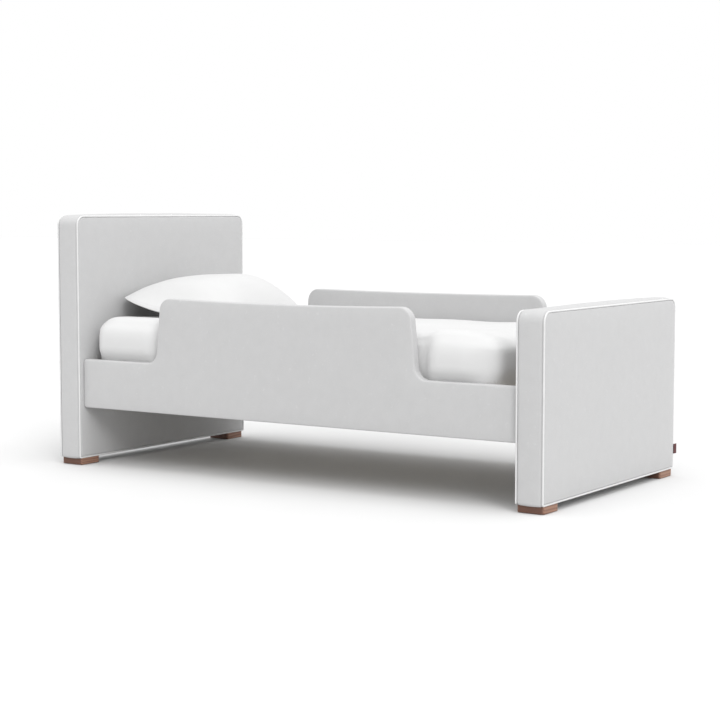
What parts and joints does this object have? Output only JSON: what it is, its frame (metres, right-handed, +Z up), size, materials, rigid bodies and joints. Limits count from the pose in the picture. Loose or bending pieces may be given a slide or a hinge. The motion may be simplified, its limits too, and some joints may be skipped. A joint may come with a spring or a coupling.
{
  "type": "toddler bed",
  "caption": "Low upholstered bed for a small child: tall padded headboard, lower footboard, stepped padded side guards, slats, mattress and pillow.",
  "frame": {"origin": "on the floor under the middle of the bed", "axes": "+X from the headboard to the footboard along the bed's length, +Y across the bed, +Z up"},
  "size_m": [1.589, 0.793, 0.724],
  "materials": {
    "upholstery_cloth": "light grey woven upholstery cloth, fine matt weave",
    "piping_cloth": "white cotton piping",
    "walnut": "walnut, fine straight grain, satin oil",
    "felt": "dark felt pad",
    "upholstery_foam": "cream cut foam and wadding",
    "mattress_foam": "cream mattress foam",
    "pillow_filling": "white fibre filling",
    "plywood": "birch plywood, unfinished",
    "frame_timber": "planed softwood, unfinished",
    "slat_timber": "planed poplar, eased edges",
    "webbing": "natural cotton webbing",
    "sheet_cotton": "white percale cotton",
    "pillow_cotton": "white percale cotton",
    "bracket_steel": "black powder coat, satin",
    "fastener_steel": "bright zinc plate",
    "tab_cloth": "dark red woven ribbon, plain"
  },
  "bodies": {
    "bed_frame": {"far_bracket_bolts": "fastener_steel", "far_bracket_screws": "fastener_steel", "far_ledger": "frame_timber", "far_ledger_screws": "fastener_steel", "far_rail_brackets": "bracket_steel", "far_rail_core": "plywood", "far_rail_cover": "upholstery_cloth", "far_rail_foam": "upholstery_foam", "foot_bolts": "fastener_steel", "foot_glides": "felt", "footboard_crossbars": "frame_timber", "footboard_edge_cover": "upholstery_cloth", "footboard_edge_wadding": "upholstery_foam", "footboard_far_foot": "walnut", "footboard_inner_board": "plywood", "footboard_inner_cover": "upholstery_cloth", "footboard_inner_foam": "upholstery_foam", "footboard_inner_piping": "piping_cloth", "footboard_inserts": "fastener_steel", "footboard_near_foot": "walnut", "footboard_outer_board": "plywood", "footboard_outer_cover": "upholstery_cloth", "footboard_outer_foam": "upholstery_foam", "footboard_outer_piping": "piping_cloth", "footboard_stiles": "frame_timber", "headboard_crossbars": "frame_timber", "headboard_edge_cover": "upholstery_cloth", "headboard_edge_wadding": "upholstery_foam", "headboard_far_foot": "walnut", "headboard_inner_board": "plywood", "headboard_inner_cover": "upholstery_cloth", "headboard_inner_foam": "upholstery_foam", "headboard_inner_piping": "piping_cloth", "headboard_inserts": "fastener_steel", "headboard_near_foot": "walnut", "headboard_outer_board": "plywood", "headboard_outer_cover": "upholstery_cloth", "headboard_outer_foam": "upholstery_foam", "headboard_outer_piping": "piping_cloth", "headboard_stiles": "frame_timber", "near_bracket_bolts": "fastener_steel", "near_bracket_screws": "fastener_steel", "near_ledger": "frame_timber", "near_ledger_screws": "fastener_steel", "near_rail_brackets": "bracket_steel", "near_rail_core": "plywood", "near_rail_cover": "upholstery_cloth", "near_rail_foam": "upholstery_foam", "seam_tab": "tab_cloth", "slat_screws": "fastener_steel", "slat_webbing": "webbing", "slats": "slat_timber"},
    "mattress": {"mattress_core": "mattress_foam", "fitted_sheet": "sheet_cotton"},
    "pillow": {"pillow_insert": "pillow_filling", "pillowcase": "pillow_cotton"}
  },
  "joints": [
    {"name": "mattress_lift", "type": "slide", "parent": "bed_frame", "child": "mattress", "axis": [0, 0, 1], "range_m": [0, 0.46]},
    {"name": "pillow_lift", "type": "slide", "parent": "mattress", "child": "pillow", "axis": [0, 0, 1], "range_m": [0, 0.32]}
  ]
}
